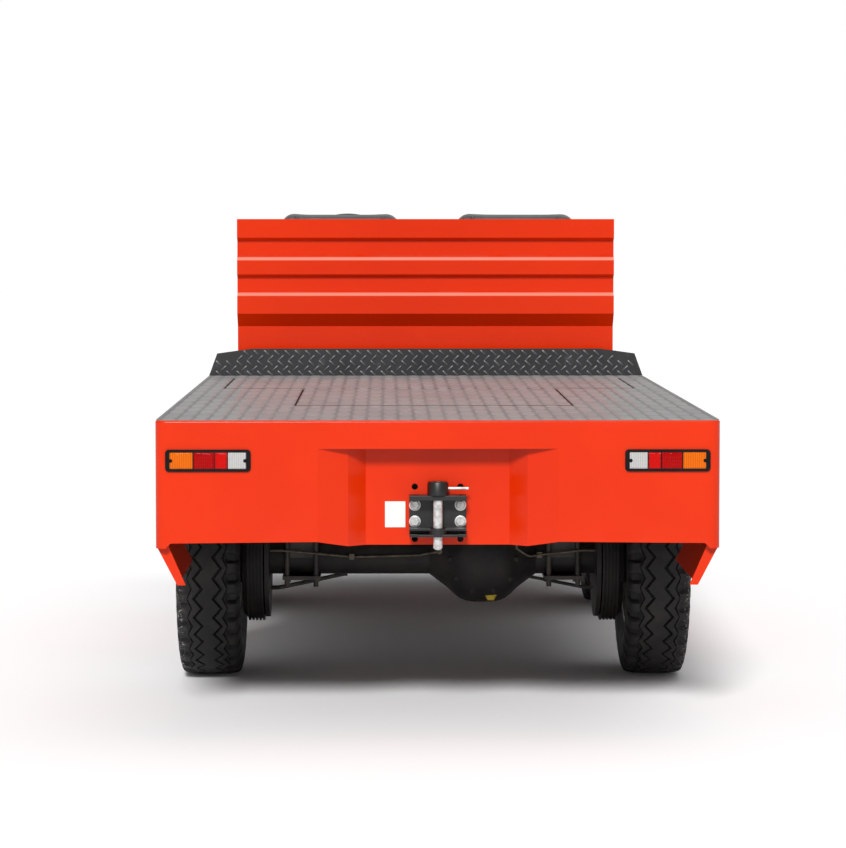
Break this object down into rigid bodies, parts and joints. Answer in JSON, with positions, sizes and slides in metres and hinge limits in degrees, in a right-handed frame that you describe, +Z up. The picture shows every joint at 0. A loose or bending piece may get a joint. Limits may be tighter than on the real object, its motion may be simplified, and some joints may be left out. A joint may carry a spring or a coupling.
{
  "type": "electric platform truck",
  "caption": "Flat-deck electric works truck with a rear towing coupler, headboard, two-seat open cab, steered front wheels and lift-up deck covers.",
  "frame": {"origin": "middle of the truck's box on the floor", "axes": "+Y forward, +X to the driver's right, +Z up"},
  "size_m": [1.6, 4.25, 1.4841],
  "materials": {
    "axle_casting": "painted and dusty",
    "battery_case": "matt",
    "body_paint": "gloss",
    "deck_steel": "worn satin",
    "frame_paint": "satin",
    "grip_plastic": "matt",
    "lamp_plastic": "gloss",
    "line_rubber": "matt",
    "line_steel": "dull",
    "plate_white": "gloss",
    "seat_vinyl": "grained",
    "spring_steel": "dark",
    "tread_steel": "satin",
    "tyre": "matt",
    "wheel_paint": "satin",
    "zinc": "zinc plated"
  },
  "bodies": {
    "chassis": {"battery": "battery_case", "battery_tray": "frame_paint", "brake_pipes": "line_steel", "cab_floor": "deck_steel", "cab_sill": "frame_paint", "cross_bearers": "frame_paint", "deck_plate": "deck_steel", "drive_motor": "axle_casting", "edge_beams": "frame_paint", "floor_frame": "frame_paint", "frame_rails": "frame_paint", "front_axle_beam": "axle_casting", "front_bumper": "frame_paint", "front_cowl": "body_paint", "front_fenders": "body_paint", "headboard": "body_paint", "headboard_posts": "body_paint", "headlamps": "lamp_plastic", "kick_plate": "tread_steel", "leaf_springs": "spring_steel", "lid_stringers": "frame_paint", "parking_cables": "line_rubber", "parking_lever": "frame_paint", "pedals": "frame_paint", "rear_axle": "axle_casting", "rear_cross_member": "frame_paint", "rear_panel": "body_paint", "seat_back_left": "seat_vinyl", "seat_back_pans": "frame_paint", "seat_back_right": "seat_vinyl", "seat_base": "body_paint", "seat_cushion_left": "seat_vinyl", "seat_cushion_right": "seat_vinyl", "side_skirts": "body_paint", "sign_plate": "plate_white", "spring_bolts": "spring_steel", "spring_hangers": "frame_paint", "steering_column": "frame_paint", "tail_lamps": "lamp_plastic", "tow_coupler": "frame_paint"},
    "wheel_rear_left": {"tyre_rear_left": "tyre", "rim_rear_left": "wheel_paint", "brake_drum_rear_left": "axle_casting"},
    "wheel_front_left": {"tyre_front_left": "tyre", "rim_front_left": "wheel_paint", "brake_drum_front_left": "axle_casting"},
    "knuckle_left": {"knuckle_left": "axle_casting"},
    "wheel_rear_right": {"tyre_rear_right": "tyre", "rim_rear_right": "wheel_paint", "brake_drum_rear_right": "axle_casting"},
    "wheel_front_right": {"tyre_front_right": "tyre", "rim_front_right": "wheel_paint", "brake_drum_front_right": "axle_casting"},
    "knuckle_right": {"knuckle_right": "axle_casting"},
    "tie_rod": {"tie_rod": "axle_casting"},
    "steering_wheel": {"steering_wheel": "grip_plastic"},
    "deck_hatch": {"deck_hatch": "deck_steel"},
    "battery_cover": {"battery_cover": "deck_steel"},
    "tow_pin": {"tow_pin": "zinc"}
  },
  "joints": [
    {"name": "rear_wheel_left_spin", "type": "hinge", "parent": "chassis", "child": "wheel_rear_left", "pos_m": [-0.7, -0.939, 0.375], "axis": [1, 0, 0], "continuous": true},
    {"name": "steer_left", "type": "hinge", "parent": "chassis", "child": "knuckle_left", "pos_m": [-0.54, 1.061, 0.375], "axis": [0, 0, 1], "range_deg": [-28, 28]},
    {"name": "front_wheel_left_spin", "type": "hinge", "parent": "knuckle_left", "child": "wheel_front_left", "pos_m": [-0.7, 1.061, 0.375], "axis": [1, 0, 0], "continuous": true},
    {"name": "rear_wheel_right_spin", "type": "hinge", "parent": "chassis", "child": "wheel_rear_right", "pos_m": [0.7, -0.939, 0.375], "axis": [1, 0, 0], "continuous": true},
    {"name": "steer_right", "type": "hinge", "parent": "chassis", "child": "knuckle_right", "pos_m": [0.54, 1.061, 0.375], "axis": [0, 0, 1], "range_deg": [-28, 28]},
    {"name": "front_wheel_right_spin", "type": "hinge", "parent": "knuckle_right", "child": "wheel_front_right", "pos_m": [0.7, 1.061, 0.375], "axis": [1, 0, 0], "continuous": true},
    {"name": "tie_rod_swing", "type": "hinge", "parent": "knuckle_left", "child": "tie_rod", "pos_m": [-0.5, 0.911, 0.3], "axis": [0, 0, 1], "range_deg": [-28, 28]},
    {"name": "steering_wheel_turn", "type": "hinge", "parent": "chassis", "child": "steering_wheel", "pos_m": [-0.3, 1.64, 1.342], "axis": [0, -0.7071, 0.7071], "range_deg": [-364, 364]},
    {"name": "deck_hatch_lift", "type": "hinge", "parent": "chassis", "child": "deck_hatch", "pos_m": [0, -0.3295, 0.8751], "axis": [-1, 0, 0], "range_deg": [0, 85]},
    {"name": "battery_cover_lift", "type": "hinge", "parent": "chassis", "child": "battery_cover", "pos_m": [0, 0.4525, 0.8751], "axis": [-1, 0, 0], "range_deg": [0, 80]},
    {"name": "tow_pin_lift", "type": "slide", "parent": "chassis", "child": "tow_pin", "axis": [0, 0, 1], "range_m": [0, 0.135]}
  ],
  "couplings": [
    {"joint": "steer_right", "follows": "steer_left", "ratio": 1},
    {"joint": "tie_rod_swing", "follows": "steer_left", "ratio": -1},
    {"joint": "steering_wheel_turn", "follows": "steer_left", "ratio": 13}
  ]
}
